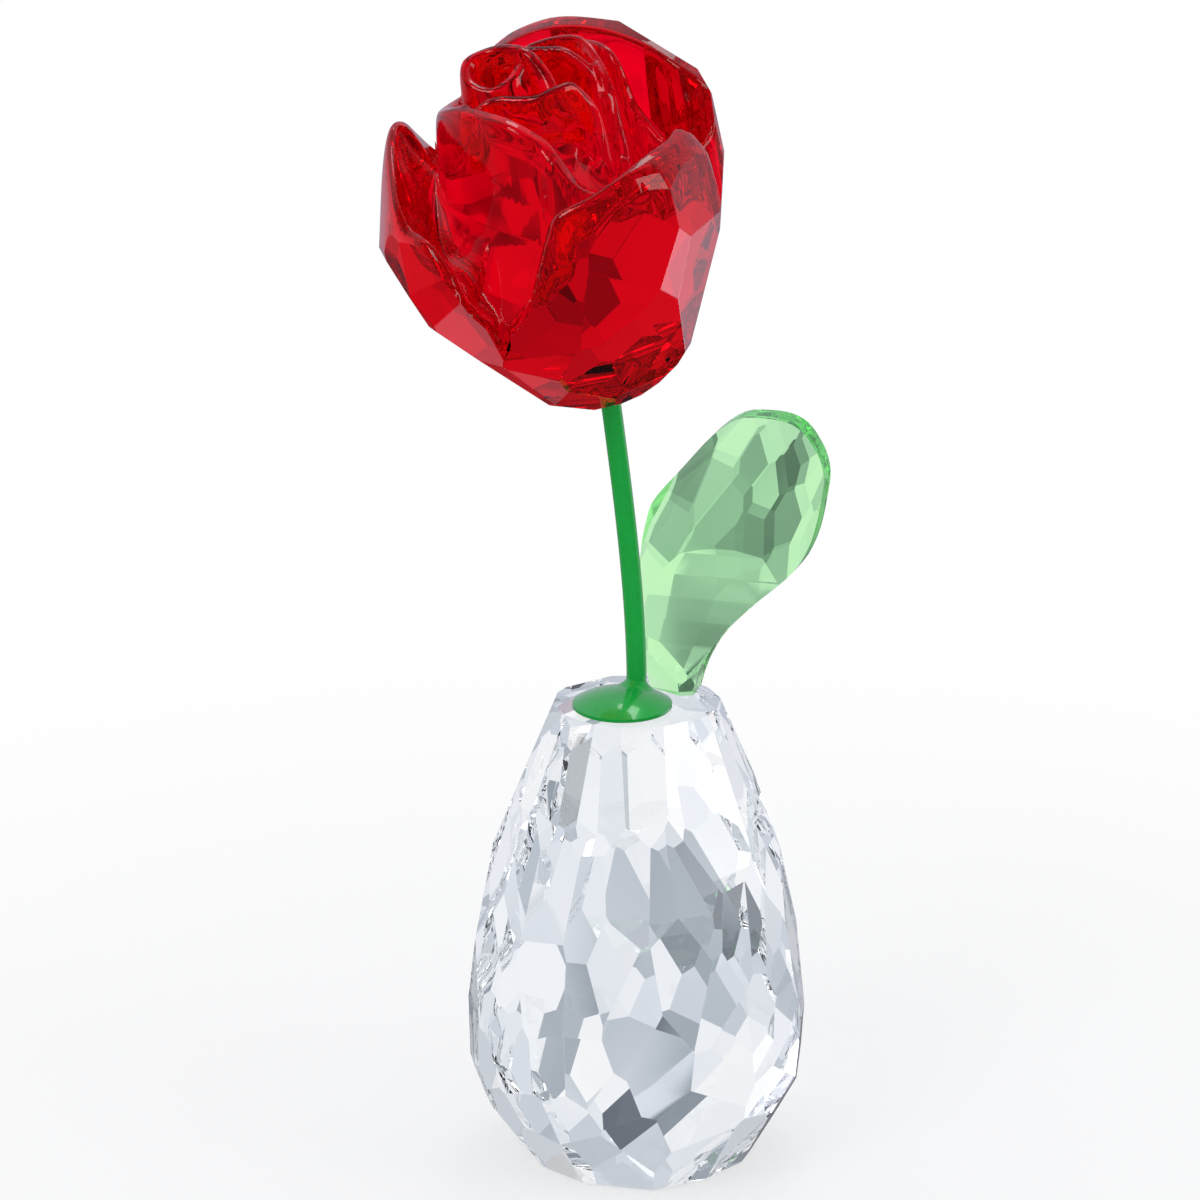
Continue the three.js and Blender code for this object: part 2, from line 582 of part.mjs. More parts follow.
// Glue films between the flat faces.
function makeFootBond() {
  const film = new THREE.CylinderGeometry(FOOT_RADIUS - FILM_INSET, FOOT_RADIUS - FILM_INSET, FILM, 48);
  return film.rotateX(Math.PI / 2).translate(FOOT_X, FOOT_Y, VASE_HEIGHT + FILM / 2);
}

function makeLeafBond() {
  const film = new THREE.CylinderGeometry(1, 1, FILM, 32).rotateX(Math.PI / 2);
  film.scale(LEAF_BOND_HALF_WIDTH, LEAF_BOND_HALF_DEPTH, 1).rotateZ(leafTurn);
  return film.translate(LEAF_X, LEAF_Y, VASE_HEIGHT + FILM / 2);
}

const RED_CRYSTAL = { color: 0xd0000a, roughness: 0.05, metalness: 0 };
const CLEAR_CRYSTAL = { color: 0xe8eef4, roughness: 0.03, metalness: 0 };
const LEAF_CRYSTAL = { color: 0x9fdca0, roughness: 0.04, metalness: 0 };
const GREEN_LACQUER = { color: 0x0e9a3c, roughness: 0.18, metalness: 0 };
const CLEAR_GLUE = { color: 0xf2f2ee, roughness: 0.2, metalness: 0 };

function named(name, geometry, material) {
  const mesh = new THREE.Mesh(geometry, new THREE.MeshStandardMaterial(material));
  mesh.name = name;
  return mesh;
}

const figurine = new THREE.Group();
figurine.add(named("vase", makeVase(), CLEAR_CRYSTAL));
figurine.add(named("leaf", makeLeaf(), LEAF_CRYSTAL));
figurine.add(named("leaf_bond", makeLeafBond(), CLEAR_GLUE));
figurine.add(named("stem_rod", makeRod(), GREEN_LACQUER));
figurine.add(named("rose_head", makeRose(), RED_CRYSTAL));
const foot = named("stem_foot", makeFoot(), GREEN_LACQUER);
foot.position.z = tableTop;
figurine.add(foot);
figurine.add(named("foot_bond", makeFootBond(), CLEAR_GLUE));

export default figurine;
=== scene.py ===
# Crystal rose figurine: the looks. A red crystal rose on a green lacquered stem, a pale green crystal leaf
# and a clear faceted vase, in metres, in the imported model's own frame.
import math

import bmesh
import bpy
import numpy as np
from mathutils import Matrix, Vector


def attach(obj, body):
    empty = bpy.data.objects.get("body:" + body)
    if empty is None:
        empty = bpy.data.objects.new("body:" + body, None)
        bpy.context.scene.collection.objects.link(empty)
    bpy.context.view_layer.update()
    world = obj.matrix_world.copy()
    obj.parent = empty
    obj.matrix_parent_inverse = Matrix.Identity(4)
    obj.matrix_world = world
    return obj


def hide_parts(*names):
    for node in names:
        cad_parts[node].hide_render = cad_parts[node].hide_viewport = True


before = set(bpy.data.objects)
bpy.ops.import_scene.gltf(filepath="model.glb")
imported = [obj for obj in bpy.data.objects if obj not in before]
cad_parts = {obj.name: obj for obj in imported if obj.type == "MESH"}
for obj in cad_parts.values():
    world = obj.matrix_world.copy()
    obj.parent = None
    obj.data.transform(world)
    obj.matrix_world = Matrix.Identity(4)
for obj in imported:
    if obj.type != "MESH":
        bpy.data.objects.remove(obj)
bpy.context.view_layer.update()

MM = 0.001
BODY = "root"
# In a copy of a solid's mesh, corners nearer than this many millimetres are merged, and neighbouring faces
# within this many degrees are one
MERGE_WITHIN = 0.002
FLAT_WITHIN = 0.3

# The stem, its foot and the places that they share, in millimetres and degrees, as the solids have them,
# except that the foot's rim is 0.15 mm thinner here
VASE_HEIGHT = 44.0
FILM = 0.1
TABLE_TOP = VASE_HEIGHT + FILM
ROD_RADIUS = 0.92
ROD_AT = (0.0, 0.4)
ROD_LEAN_LEFT = 7.0
ROD_LEAN_BACK = 1.0
BORE_FLOOR = 0.5
FOOT_RADIUS = 4.55
FOOT_RIM = 0.3
FOOT_DOME = 1.6
FOOT_AT = (-1.33, -1.42)
SOCKET_DEPTH = 2.4
SOCKET_GAP = 0.3
SOCKET_AT = (1.9, -0.6)

# The rose's own frame, in millimetres and degrees
ROSE_AT = (-8.06, -1.5)
ROSE_ABOVE_TABLE = 46.9
ROSE_LEAN_LEFT = 12.0
ROSE_LEAN_NEAR = 10.0
ROSE_RADIUS = 15.9
ROSE_HALF_HEIGHT = 17.4
ROSE_TOP = 16.6

# The camera, in millimetres and degrees
CAMERA_TARGET = Vector((-3.36, 0.0, 53.8))
CAMERA_DISTANCE = 606.0
CAMERA_ELEVATION = 19.5
CAMERA_LENS = 200.0
CAMERA_SEES_TO_METRES = 50.0


def add_camera():
    """The photograph's viewing angle: from the front, a little above."""
    elevation = math.radians(CAMERA_ELEVATION)
    away = Vector((0.0, -math.cos(elevation), math.sin(elevation)))
    bpy.ops.object.camera_add(
        location=(CAMERA_TARGET + CAMERA_DISTANCE * away) * MM,
        rotation=(math.pi / 2 - elevation, 0.0, 0.0),
    )
    camera = bpy.context.object
    camera.data.lens = CAMERA_LENS
    camera.data.clip_end = CAMERA_SEES_TO_METRES
    bpy.context.scene.camera = camera


# Shader maths: a wire is a socket, and arithmetic on wires adds Math nodes.
class Wire:
    def __init__(self, nodes, socket):
        self.nodes = nodes
        self.socket = socket

    def math(self, operation, *others):
        values = dict(enumerate((self, *others)))
        return self.nodes.add("ShaderNodeMath", {"operation": operation}, values)

    def __add__(self, other):
        return self.math("ADD", other)

    def __mul__(self, other):
        return self.math("MULTIPLY", other)

    def __sub__(self, other):
        return self.math("SUBTRACT", other)

    def __rsub__(self, other):
        return self.nodes.value(other).math("SUBTRACT", self)

    __radd__ = __add__
    __rmul__ = __mul__

    def other_output(self, name):
        return Wire(self.nodes, self.socket.node.outputs[name])


class Nodes:
    """The node tree of a material or a world, emptied, with one way to add a node."""

    def __init__(self, owner):
        owner.use_nodes = True
        self.tree = owner.node_tree
        self.tree.nodes.clear()

    def add(self, kind, settings=None, values=None, output=0):
        node = self.tree.nodes.new(kind)
        for name, value in (settings or {}).items():
            if name == "stops":
                self.set_stops(node.color_ramp, value)
            else:
                setattr(node, name, value)
        for name, value in (values or {}).items():
            if isinstance(value, Wire):
                self.tree.links.new(value.socket, node.inputs[name])
            else:
                node.inputs[name].default_value = value
        return Wire(self, node.outputs[output]) if node.outputs else None

    def value(self, number):
        return self.add("ShaderNodeMath", {"operation": "ADD"}, {0: number, 1: 0.0})

    @staticmethod
    def set_stops(ramp, stops):
        while len(ramp.elements) < len(stops):
            ramp.elements.new(1.0)
        for element, (place, colour) in zip(ramp.elements, stops):
            element.position = place
            element.color = (*colour, 1.0)

    def place(self):
        """The place on the piece, in metres, in the object's own frame."""
        return self.add("ShaderNodeTexCoord").other_output("Object")

    def noise(self, scale, detail=2.0):
        """Soft noise from 0 to 1, with scale in waves a metre."""
        values = {"Vector": self.place(), "Scale": scale, "Detail": detail}
        return self.add("ShaderNodeTexNoise", None, values)

    def soft_step(self, value, start, end, low=0.0, high=1.0):
        """Goes smoothly from low to high while the value goes from start to end."""
        values = {"Value": value, 1: start, 2: end, 3: low, 4: high}
        return self.add("ShaderNodeMapRange", {"interpolation_type": "SMOOTHSTEP"}, values)

    def mix_colour(self, share, a, b):
        values = {"Factor": share, 6: (*a, 1.0), 7: (*b, 1.0)}
        return self.add("ShaderNodeMix", {"data_type": "RGBA"}, values, 2)

    def bump(self, height, distance):
        return self.add("ShaderNodeBump", None, {"Height": height, "Distance": distance})

    def mix_shader(self, share, first, second):
        return self.add("ShaderNodeMixShader", None, {0: share, 1: first, 2: second})

    def background(self, colour, strength=1.0):
        return self.add("ShaderNodeBackground", None, {"Color": colour, "Strength": strength})


# Materials, with patterns in waves a metre and linear colours. A crystal's pale and deep tints are what its
# skin lets through, and its depth turns white into the absorb colour, as fast as the density says.
CRYSTAL_IOR = 1.55
CRYSTAL_CLOUDS = 60.0
CLEAR_CRYSTAL = {"pale": (0.985, 0.99, 1.0), "deep": (0.965, 0.975, 0.99)}
GREEN_CRYSTAL = {
    "pale": (0.74, 1.0, 0.7),
    "deep": (0.68, 1.0, 0.63),
    "absorb": (0.4, 0.96, 0.36),
    "density": 75.0,
}
RED_CRYSTAL = {
    "pale": (1.0, 0.0, 0.02),
    "deep": (0.97, 0.0, 0.012),
    "absorb": (0.75, 0.1, 0.2),
    "density": 40.0,
}
LACQUER_TONES = ((0.004, 0.40, 0.042), (0.01, 0.47, 0.07))
LACQUER_GRAIN = 900.0
LACQUER_SHEEN = 400.0
LACQUER_ROUGHNESS, SHEEN_CHANGE = 0.2, 0.08
LACQUER_RIPPLE = 500.0
RIPPLE_DEPTH = 0.00001
GLUE_TONES = ((0.95, 0.95, 0.93), (0.88, 0.89, 0.87))
GLUE_CLOUDS = 500.0
GLUE_IOR = 1.5


def crystal(name, pale, deep, absorb=None, density=0.0, mirrored=True):
    """Polished crystal: clear, smooth, tinted between two near colours in soft clouds. Crystal that isn't
    mirrored leaves its neighbours' reflections clean."""
    material = bpy.data.materials.new(name)
    nodes = Nodes(material)
    colour = nodes.mix_colour(nodes.noise(CRYSTAL_CLOUDS), pale, deep)
    values = {
        "Base Color": colour,
        "Roughness": 0.0,
        "IOR": CRYSTAL_IOR,
        "Transmission Weight": 1.0,
    }
    surface = nodes.add("ShaderNodeBsdfPrincipled", None, values)
    if not mirrored:
        path = nodes.add("ShaderNodeLightPath")
        outside = 1 - path.other_output("Transmission Depth").math("MINIMUM", 1.0)
        clear = nodes.add("ShaderNodeBsdfTransparent")
        surface = nodes.mix_shader(path.other_output("Is Glossy Ray") * outside, surface, clear)
    outputs = {"Surface": surface}
    if absorb:
        depth = {"Color": (*absorb, 1.0), "Density": density}
        outputs["Volume"] = nodes.add("ShaderNodeVolumeAbsorption", None, depth)
    nodes.add("ShaderNodeOutputMaterial", None, outputs)
    return material


def green_lacquer():
    """Green lacquer over metal: deep gloss, a shade uneven in its green and in its sheen."""
    material = bpy.data.materials.new("deep_green_lacquer")
    nodes = Nodes(material)
    colour = nodes.mix_colour(nodes.noise(LACQUER_GRAIN, 3.0), *LACQUER_TONES)
    surface = nodes.add(
        "ShaderNodeBsdfPrincipled",
        None,
        {
            "Base Color": colour,
            "Metallic": 0.1,
            "Roughness": nodes.noise(LACQUER_SHEEN) * SHEEN_CHANGE + LACQUER_ROUGHNESS,
            "Coat Weight": 1.0,
            "Coat Roughness": 0.04,
            "Normal": nodes.bump(nodes.noise(LACQUER_RIPPLE), RIPPLE_DEPTH),
        },
    )
    nodes.add("ShaderNodeOutputMaterial", None, {"Surface": surface})
    return material


def clear_glue():
    """Set clear adhesive, a little cloudy."""
    material = bpy.data.materials.new("set_clear_glue")
    nodes = Nodes(material)
    colour = nodes.mix_colour(nodes.noise(GLUE_CLOUDS), *GLUE_TONES)
    values = {"Base Color": colour, "Roughness": 0.12, "IOR": GLUE_IOR, "Transmission Weight": 1.0}
    surface = nodes.add("ShaderNodeBsdfPrincipled", None, values)
    nodes.add("ShaderNodeOutputMaterial", None, {"Surface": surface})
    return material


# Modelling: everything is made in millimetres and scaled to metres when it is finished.
def deselect():
    for each in bpy.context.selected_objects:
        each.select_set(False)


def only(piece):
    """Selects one object, and nothing else."""
    deselect()
    piece.select_set(True)
    bpy.context.view_layer.objects.active = piece


def finish_piece(piece, name, nodes_replaced):
    """Names a piece, hangs it on what it rides on, and hides the solids that it stands for."""
    piece.name = name
    piece.data.name = name
    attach(piece, BODY)
    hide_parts(*nodes_replaced)


def copy_of_node(node):
    """A copy of a solid's mesh in millimetres, with its corners merged and its flat faces made whole."""
    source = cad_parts[node]
    piece = bpy.data.objects.new(node + "_copy", source.data.copy())
    bpy.context.scene.collection.objects.link(piece)
    piece.data.materials.clear()
    piece.data.transform(Matrix.Scale(1 / MM, 4))
    only(piece)
    bpy.ops.object.mode_set(mode="EDIT")
    bpy.ops.mesh.select_all(action="SELECT")
    bpy.ops.mesh.remove_doubles(threshold=MERGE_WITHIN)
    bpy.ops.mesh.dissolve_limited(angle_limit=math.radians(FLAT_WITHIN))
    bpy.ops.object.mode_set(mode="OBJECT")
    return piece


def ground_edges(piece, width, sharper_than):
    """Bevels the piece's sharp edges by a hair, as a ground edge is on cut crystal."""
    only(piece)
    bpy.ops.object.mode_set(mode="EDIT")
    bpy.ops.mesh.select_all(action="DESELECT")
    bpy.ops.mesh.select_mode(type="EDGE")
    mesh = bmesh.from_edit_mesh(piece.data)
    for edge in mesh.edges:
        edge.select = len(edge.link_faces) == 2 and edge.calc_face_angle() > math.radians(sharper_than)
    mesh.select_flush_mode()
    bmesh.update_edit_mesh(piece.data)
    bpy.ops.mesh.bevel(offset=width, offset_type="OFFSET", segments=1, clamp_overlap=True)
    bpy.ops.object.mode_set(mode="OBJECT")


def faces_outward(piece):
    only(piece)
    bpy.ops.object.mode_set(mode="EDIT")
    bpy.ops.mesh.select_all(action="SELECT")
    bpy.ops.mesh.normals_make_consistent(inside=False)
    bpy.ops.object.mode_set(mode="OBJECT")


def to_metres(piece):
    piece.data.transform(Matrix.Scale(MM, 4))


# Ground edges: their width in millimetres, and how many degrees an edge turns before it has one
VASE_EDGE = (0.08, 2.0)
LEAF_EDGE = (0.05, 2.5)
ROSE_EDGE = (0.05, 2.0)
# How high the leaf's smooth neck reaches above the table, in millimetres
LEAF_NECK = 12.0
# Edges that turn less than this, in degrees, look smooth
NECK_SMOOTH = 8.0
STEM_SMOOTH = 40.0
PETALS_SMOOTH = 35.0


def vase(material):
    """The clear vase: its flat cut facets, with finely ground edges."""
    piece = copy_of_node("vase")
    ground_edges(piece, *VASE_EDGE)
    to_metres(piece)
    piece.data.materials.append(material)
    finish_piece(piece, "vase_crystal", ["vase"])


def leaf(material):
    """The leaf: a faceted blade on a smooth scooped neck."""
    piece = copy_of_node("leaf")
    ground_edges(piece, *LEAF_EDGE)
    to_metres(piece)
    piece.data.materials.append(material)
    only(piece)
    bpy.ops.object.shade_smooth_by_angle(angle=math.radians(NECK_SMOOTH))
    for face in piece.data.polygons:
        if face.center.z > (TABLE_TOP + LEAF_NECK) * MM:
            face.use_smooth = False
    finish_piece(piece, "leaf_crystal", ["leaf"])


def lean(left, back):
    """An upward direction that leans left by one angle and back by the other."""
    return Vector((-math.tan(math.radians(left)), math.tan(math.radians(back)), 1.0)).normalized()


bloom_up = lean(ROSE_LEAN_LEFT, -ROSE_LEAN_NEAR)
bloom_right = (Vector((1.0, 0.0, 0.0)) - bloom_up.x * bloom_up).normalized()
bloom_back = bloom_up.cross(bloom_right)
bloom_frame = Matrix.Translation((*ROSE_AT, VASE_HEIGHT + ROSE_ABOVE_TABLE)) @ Matrix(
    (bloom_right, bloom_back, bloom_up)
).transposed().to_4x4()

# The rod's line: upright in the foot, then a slow bend into the rose's socket
rod_away = lean(ROD_LEAN_LEFT, ROD_LEAN_BACK)
rod_start = Vector((*ROD_AT, TABLE_TOP + BORE_FLOOR))
rod_end = bloom_frame @ Vector((*SOCKET_AT, -ROSE_HALF_HEIGHT)) + (SOCKET_DEPTH - SOCKET_GAP) * rod_away
rod_reach = (rod_end - rod_start).length / 3


def rod_point(share):
    """A point on the rod's line, a cubic curve, from 0 at its foot to 1 at its end."""
    rest = 1 - share
    low = rod_start + rod_reach * Vector((0.0, 0.0, 1.0))
    high = rod_end - rod_reach * rod_away
    return rest**3 * rod_start + 3 * rest**2 * share * low + 3 * rest * share**2 * high + share**3 * rod_end


# The skin's sides and rings, and the flare where the rod meets the foot, in millimetres
STEM_SIDES = 64
FOOT_STEPS = 26
ROD_STEPS = 44
FILLET = 0.6
FLARE_WIDTH = 1.0


def foot_height(place, foot, rod):
    """How high the foot's top is at a place: a low dome about the disc's middle, and a flare at the rod."""
    from_middle = math.hypot(place.x - foot.x, place.y - foot.y)
    from_rod = math.hypot(place.x - rod.x, place.y - rod.y) - ROD_RADIUS
    dome = (FOOT_DOME - FOOT_RIM) * (1 - (from_middle / FOOT_RADIUS) ** 2)
    flare = FILLET * max(0.0, 1 - from_rod / FLARE_WIDTH) ** 2
    return FOOT_RIM + dome + flare


def stem(material):
    """The lacquered stem: the rod and its domed foot under one skin. The foot's rings are drawn in flat, at
    its rim's height, and raised to the dome when all the rings are there."""
    foot = Vector((*FOOT_AT, 0.0))
    bpy.ops.mesh.primitive_circle_add(
        vertices=STEM_SIDES, radius=FOOT_RADIUS, fill_type="NGON", location=(*FOOT_AT, TABLE_TOP)
    )
    piece = bpy.context.object
    bpy.ops.object.transform_apply(location=True, rotation=True, scale=True)
    rings = [(FOOT_RADIUS, foot + Vector((0.0, 0.0, TABLE_TOP + FOOT_RIM)))]
    neck_share = (FOOT_DOME + FILLET) / (rod_end.z - TABLE_TOP)
    neck = rod_point(neck_share)
    for step in range(1, FOOT_STEPS + 1):
        inward = math.sin(math.pi / 2 * step / FOOT_STEPS)
        radius = FOOT_RADIUS + (ROD_RADIUS - FOOT_RADIUS) * inward
        centre = neck.lerp(foot, (radius - ROD_RADIUS) / (FOOT_RADIUS - ROD_RADIUS))
        rings.append((radius, Vector((centre.x, centre.y, TABLE_TOP + FOOT_RIM))))
    for step in range(ROD_STEPS + 1):
        rings.append((ROD_RADIUS, rod_point(neck_share + (1 - neck_share) * step / ROD_STEPS)))
    only(piece)
    bpy.ops.object.mode_set(mode="EDIT")
    bpy.ops.mesh.select_all(action="SELECT")
    radius, centre = FOOT_RADIUS, Vector((*FOOT_AT, TABLE_TOP))
    for next_radius, next_centre in rings:
        bpy.ops.mesh.extrude_region_move(TRANSFORM_OT_translate={"value": next_centre - centre})
        scale = next_radius / radius
        bpy.ops.transform.resize(value=(scale, scale, 1.0), center_override=next_centre)
        radius, centre = next_radius, next_centre
    bpy.ops.object.mode_set(mode="OBJECT")
    faces_outward(piece)
    for vertex in piece.data.vertices:
        if TABLE_TOP + FOOT_RIM / 2 < vertex.co.z < TABLE_TOP + FOOT_RIM * 2:
            vertex.co.z = TABLE_TOP + foot_height(vertex.co, foot, neck)
    to_metres(piece)
    piece.data.materials.append(material)
    only(piece)
    bpy.ops.object.shade_smooth_by_angle(angle=math.radians(STEM_SMOOTH))
    finish_piece(piece, "stem_lacquered", ["stem_rod", "stem_foot"])


# Petals, as the solid has them: a ridge that follows each rim, (right, back, up) in millimetres. The inner
# wall is left of the rim's run and the outer wall is right of it. A wall has one width, or widths as (share
# of the run, width).
def steep(*widths):
    """A wall with a flat top."""
    return 4, widths


def rolled(*widths):
    """A wall that falls away in a round shoulder."""
    return 2, widths


PETALS = {
    "bud": (steep(1.0), steep(1.1), [
        (0.4, 2.3, 13.6), (-0.6, 1.2, 13), (-2.4, 0.6, 12.6), (-4.3, 1.6, 13.4), (-4.3, 3.4, 14.4),
        (-2.5, 4.3, 14.7), (-0.6, 3.9, 14.9), (1.2, 2.8, 14.6), (2.4, 1.6, 13.2), (3, 0.2, 11.6),
    ]),
    "front": (steep(0.8), steep(0.9), [
        (-4.4, -0.9, 11.2), (-3.2, -1.2, 12.2), (-1.7, -1.1, 12.4), (0, -1.4, 12.2), (1.6, -1.8, 12.2),
        (3.4, -1.3, 12.4), (4.8, -0.5, 12.2), (5.8, -0.5, 10.8), (6.3, -1, 9.2), (6.1, -2, 7),
        (5.8, -2.6, 5.2),
    ]),
    "behind_bud": (steep(0.8), steep(0.8), [
        (-5.6, 4, 10.5), (-3.8, 6, 12.4), (-1.2, 6.2, 13.4), (1, 5.2, 13.7), (2.8, 4.9, 13.5),
        (4.4, 4.4, 13.3), (6.6, 2.8, 11.4), (6.9, 1.2, 9.8),
    ]),
    "side": (steep(0.7), steep(0.9), [
        (-1.5, 8.4, 11.4), (1.5, 8, 12.8), (5.6, 6.4, 13.3), (7.2, 3.6, 12), (7.9, 1.2, 9.8),
        (7.9, 0, 8.4), (8, -1, 6.5), (7.9, -1.9, 4.8),
    ]),
    "back": (steep(0.8), steep(1.0), [
        (1.5, 10, 10.6), (5.2, 8.6, 12), (7.9, 5.8, 12), (8.7, 4.5, 10.8), (9.3, 3.6, 7.6),
        (10.2, 2.6, 6), (11.3, 1.4, 4.4),
    ]),
    "middle": (steep(1.1), steep(1.7), [
        (-5, 8.4, 9), (-6.6, 5.4, 9.6), (-7, 2.4, 10.6), (-6.4, 0.2, 11.6), (-5.2, -1.3, 12.2),
        (-3.3, -3.1, 12.2), (-0.7, -5.4, 11.8), (1.6, -6.6, 10.2), (2.8, -7.9, 8.6), (4.4, -8.6, 6),
        (6.5, -8, 4.5), (8.5, -6, 3.4),
    ]),
    "outer_left": (rolled(2.0), rolled(3.0), [
        (-9.6, 10.5, 2.9), (-10.3, 9, 4.8), (-10.9, 7, 7.1), (-11.3, 5, 9), (-11.8, 3, 9.8),
        (-12.2, 0.5, 9), (-12.2, -3, 7.8), (-12, -6.2, 6.4), (-11.2, -8.4, 4.9), (-9.5, -10.7, 4.2),
        (-8.1, -12.4, 1.9), (-7, -12.8, -1.4), (-5.7, -13.1, -3.4), (-5.3, -13.2, -6),
    ]),
    "outer_right": (
        steep((0.0, 1.4), (1.0, 1.0)),
        rolled((0.0, 2.5), (0.49, 2.5), (0.57, 4.4), (0.735, 4.4), (0.775, 1.0), (0.82, 0.8)),
        [
            (-5.4, -13.4, -7.4), (-4.6, -12.7, -4.8), (-2.8, -13, -3), (-1.4, -13.5, -1.2),
            (-0.4, -14, 1.5), (0.9, -13.8, 4), (2.2, -13.3, 5.9), (5.3, -12.8, 6.7), (9, -10.9, 7.6),
            (12.6, -5.9, 7.3), (13.5, -2.6, 6.8), (13.8, -1.8, 5), (13.8, -1.6, 1), (13.5, -1.4, -5),
        ],
    ),
    "outer_back": (
        steep((0.0, 0.9), (0.2, 1.2), (1.0, 2.3)),
        steep((0.0, 0.7), (0.14, 0.7), (0.2, 6.5)),
        [
            (13.2, 0.2, 4.4), (14.4, 0.9, 3.2), (15.4, 1.8, 3.6), (16.1, 3.2, 6), (15.7, 4, 8),
            (13.9, 4.6, 9.8), (11.3, 7.2, 11.2), (7.6, 10.4, 12), (2.9, 12.5, 12.2), (-2, 13.4, 10.8),
            (-5.6, 13.4, 8), (-8, 12.8, 3),
        ],
    ),
}
# The fold behind the outer right petal is pressed less deep, so its front shows solid crystal
PETALS["right_fold"] = (steep(1.6), steep(1.6), [
    (4, -11.2, 2.4), (6.5, -10.4, 4.2), (9, -8.9, 4.9), (11, -6.2, 4.8), (12.2, -3.4, 4),
])
# How finely a rim is followed, how sharply the petals part, and the well under them: its height in the
# middle, and how it falls away outwards
RIM_STEPS = 60
STEPS_BETWEEN_POINTS = 20
BLEND_POWER = 6
WELL_DEEP, WELL_SLOPE, WELL_BEND = 9.0, 0.45, 0.045
# The pressed block: half its side, its grid's cells to a side and its floor, in millimetres
SLUG_HALF = 18.0
SLUG_CELLS = 280
SLUG_FLOOR = -22.0
SOCKET_SIDES = 48


def rim_line(rim):
    """A smooth line through a rim's points: a centripetal Catmull-Rom curve, in even steps of its length."""
    points = [np.array(p, float) for p in rim]
    ends = [2 * points[0] - points[1], *points, 2 * points[-1] - points[-2]]
    fine = []
    for i in range(1, len(ends) - 2):
        p0, p1, p2, p3 = ends[i - 1 : i + 3]
        spans = ((p0, p1), (p1, p2), (p2, p3))
        t1, t2, t3 = np.cumsum([np.sqrt(np.linalg.norm(b - a)) for a, b in spans])
        for t in np.linspace(t1, t2, STEPS_BETWEEN_POINTS, endpoint=False):
            a1 = p0 + (p1 - p0) * t / t1
            a2 = p1 + (p2 - p1) * (t - t1) / (t2 - t1)
            a3 = p2 + (p3 - p2) * (t - t2) / (t3 - t2)
            b1 = a1 + (a2 - a1) * t / t2
            b2 = a2 + (a3 - a2) * (t - t1) / (t3 - t1)
            fine.append(b1 + (b2 - b1) * (t - t1) / (t2 - t1))
    fine = np.array([*fine, points[-1]])
    run = np.concatenate([[0.0], np.cumsum(np.linalg.norm(np.diff(fine, axis=0), axis=1))])
    even = np.linspace(0.0, run[-1], RIM_STEPS + 1)
    return np.stack([np.interp(even, run, fine[:, k]) for k in range(3)], axis=1)


def nearest_on_rim(line, x, y):
    """For each place: how far the rim is, squared, how high it stands there, on which side the place lies
    and what share of the rim has been run."""
    squared = np.full(x.shape, np.inf)
    height, side, run = np.zeros(x.shape), np.ones(x.shape), np.zeros(x.shape)
    for i in range(1, len(line)):
        a, b = line[i - 1], line[i]
        dx, dy = b[0] - a[0], b[1] - a[1]
        share = np.clip(((x - a[0]) * dx + (y - a[1]) * dy) / (dx * dx + dy * dy), 0.0, 1.0)
        ex, ey = x - a[0] - share * dx, y - a[1] - share * dy
        near = ex * ex + ey * ey
        closer = near < squared
        squared = np.where(closer, near, squared)
        height = np.where(closer, a[2] + share * (b[2] - a[2]), height)
        side = np.where(closer, np.where(dx * ey - dy * ex < 0, -1.0, 1.0), side)
        run = np.where(closer, (i - 1 + share) / (len(line) - 1), run)
    return squared, height, side, run


def wall_width(widths, run):
    """A wall's width at each share of the rim's run."""
    if len(widths) == 1:
        return np.full(run.shape, widths[0])
    places, values = zip(*widths)
    return np.interp(run, places, values)


def petal_surface(x, y):
    """The pressed surface: a well that deepens outwards, and the petals' ridges blended over it."""
    radius = np.hypot(x, y)
    well = WELL_DEEP - WELL_SLOPE * radius - WELL_BEND * radius**2
    total = np.zeros(x.shape)
    for (inner_power, inner), (outer_power, outer), rim in PETALS.values():
        squared, height, side, run = nearest_on_rim(rim_line(rim), x, y)
        width = np.where(side > 0, wall_width(inner, run), wall_width(outer, run))
        power = np.where(side > 0, inner_power, outer_power)
        rise = np.maximum(0.0, height - well) / (1 + (squared / width**2) ** (power / 2))
        total += rise**BLEND_POWER
    return well + total ** (1 / BLEND_POWER)


